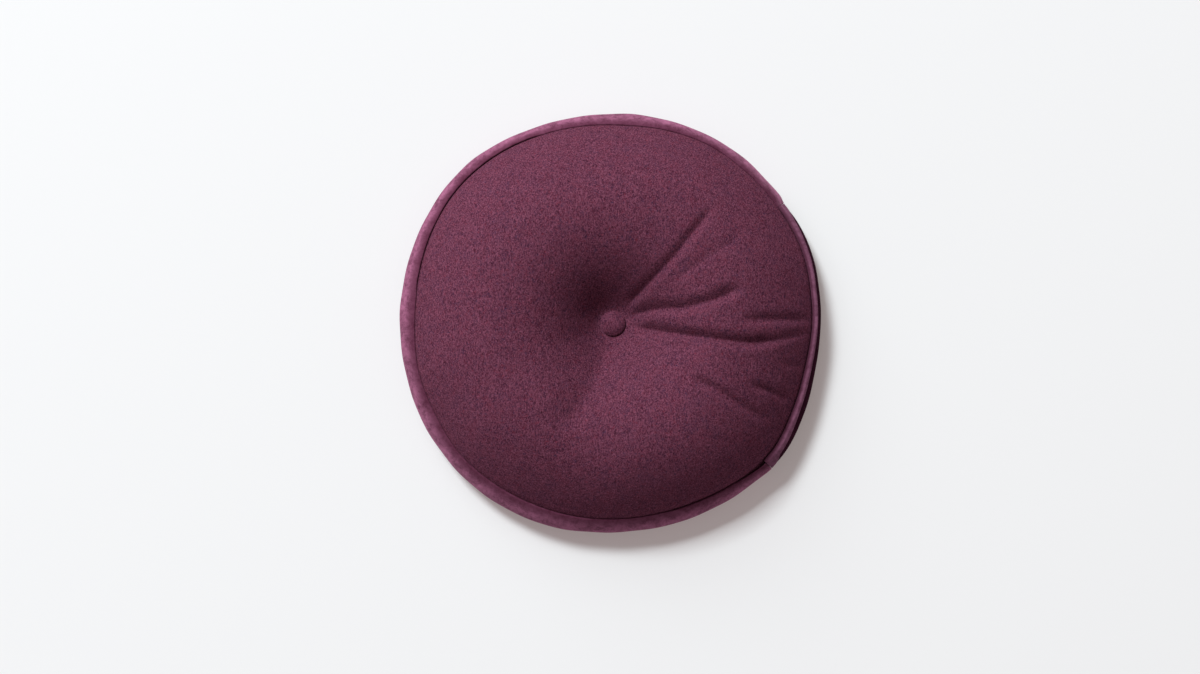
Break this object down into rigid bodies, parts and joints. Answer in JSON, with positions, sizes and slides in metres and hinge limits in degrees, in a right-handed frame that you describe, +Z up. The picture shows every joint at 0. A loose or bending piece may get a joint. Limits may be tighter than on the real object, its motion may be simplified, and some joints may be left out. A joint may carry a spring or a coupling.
{
  "type": "round box throw pillow with a tufted middle",
  "caption": "Round felt box pillow with a velvet side band, a lapped side placket and a covered button drawn into its middle.",
  "frame": {"origin": "on the surface under the middle of the pillow's outline, at the height of the flat back", "axes": "+Z up through the front button, +X towards the middle of the side placket"},
  "size_m": [0.4045, 0.4024, 0.1034],
  "materials": {
    "wool_felt": "heathered plum wool felt, matt, with a short fuzz",
    "velvet": "plum velvet with a soft edge sheen"
  },
  "bodies": {
    "root": {"front_panel": "wool_felt", "back_panel": "wool_felt", "main_band": "velvet", "placket_flap": "velvet", "placket_lower": "velvet", "front_button": "wool_felt", "back_button": "wool_felt"}
  },
  "joints": []
}
